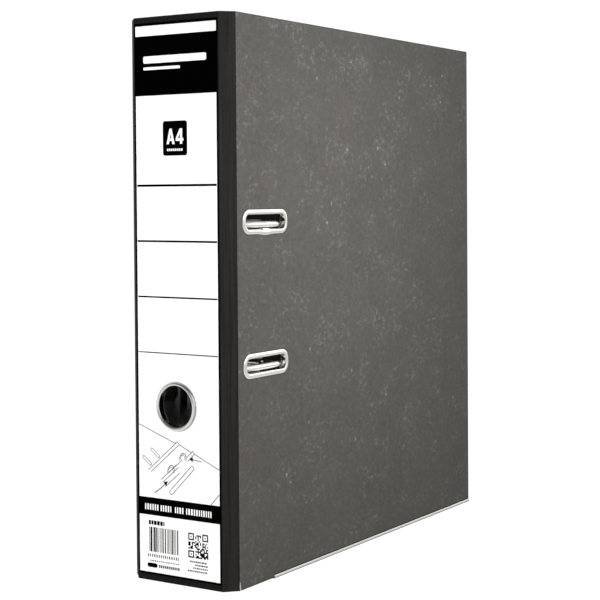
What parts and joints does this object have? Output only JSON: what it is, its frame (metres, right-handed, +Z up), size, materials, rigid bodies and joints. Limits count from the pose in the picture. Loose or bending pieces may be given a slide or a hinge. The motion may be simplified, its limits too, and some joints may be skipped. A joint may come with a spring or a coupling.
{
  "type": "lever arch file",
  "caption": "Upright lever arch file: board covers joined by cloth joints to a labelled spine with a finger ring, slot eyelets, and a lever mechanism with arches, posts and compressor bar.",
  "frame": {"origin": "middle of the footprint, on the ground", "axes": "+Z up along the spine, +X out of the front cover, -Y out of the spine, +Y towards the covers' free edges"},
  "size_m": [0.0743, 0.2868, 0.318],
  "materials": {
    "grey_board": "raw grey board",
    "marbled_paper": "dark grey marbled covering paper, matt",
    "lining_paper": "plain dark grey lining paper",
    "book_cloth": "black book cloth, fine vertical grain",
    "label_paper": null,
    "nickel_bright": "bright nickel plate",
    "nickel_satin": "satin nickel-plated sheet steel",
    "spring_steel": "drawn spring wire",
    "nylon": "natural nylon"
  },
  "bodies": {
    "back_cover": {"back_board": "grey_board", "back_cover_paper": "marbled_paper", "back_lining": "lining_paper", "back_edge_protector": "nickel_bright", "base_plate": "nickel_satin", "mechanism_rivets": "nickel_bright", "filing_post_upper": "nickel_bright", "filing_post_lower": "nickel_bright", "lever_pivot_rivets": "nickel_bright", "arch_spring": "spring_steel"},
    "spine": {"spine_board": "grey_board", "spine_cloth": "book_cloth", "spine_lining": "lining_paper", "spine_label": "label_paper", "finger_ring_outer": "nickel_bright", "finger_ring_inner": "nickel_satin", "front_joint_cloth": "book_cloth", "front_joint_lining": "lining_paper", "back_joint_cloth": "book_cloth", "back_joint_lining": "lining_paper"},
    "front_cover": {"front_board": "grey_board", "front_cover_paper": "marbled_paper", "front_lining": "lining_paper", "front_edge_protector": "nickel_bright", "slot_eyelet_upper": "nickel_bright", "slot_eyelet_lower": "nickel_bright", "slot_backplate_upper": "nickel_satin", "slot_backplate_lower": "nickel_satin"},
    "arches": {"arch_wire": "nickel_bright"},
    "lever": {"lever_arm": "nickel_satin", "roller_pin": "nickel_bright"},
    "roller": {"lever_roller": "nylon"},
    "compressor": {"compressor_bar": "nickel_satin"}
  },
  "joints": [
    {"name": "spine_hinge", "type": "hinge", "parent": "back_cover", "child": "spine", "pos_m": [-0.0334, -0.1394, 0.159], "axis": [0, 0, -1], "range_deg": [0, 90], "deforming": ["back_joint_cloth", "back_joint_lining"]},
    {"name": "front_cover_hinge", "type": "hinge", "parent": "spine", "child": "front_cover", "pos_m": [0.0334, -0.1394, 0.159], "axis": [0, 0, -1], "range_deg": [0, 180], "deforming": ["front_joint_cloth", "front_joint_lining"]},
    {"name": "arch_open", "type": "hinge", "parent": "back_cover", "child": "arches", "pos_m": [-0.0253, -0.1283, 0.1612], "axis": [0, 0, -1], "range_deg": [0, 40], "deforming": ["arch_spring"]},
    {"name": "lever_lift", "type": "hinge", "parent": "back_cover", "child": "lever", "pos_m": [-0.01855, -0.1145, 0.1662], "axis": [0, -1, 0], "range_deg": [0, 80]},
    {"name": "roller_spin", "type": "hinge", "parent": "lever", "child": "roller", "pos_m": [-0.02368, -0.1145, 0.16009], "axis": [0, 1, 0], "continuous": true},
    {"name": "compressor_slide", "type": "slide", "parent": "back_cover", "child": "compressor", "axis": [1, 0, 0], "range_m": [0, 0.04]}
  ],
  "couplings": [
    {"joint": "arch_open", "follows": "spine_hinge", "ratio": 0.4444},
    {"joint": "lever_lift", "follows": "spine_hinge", "ratio": 0.8888}
  ]
}
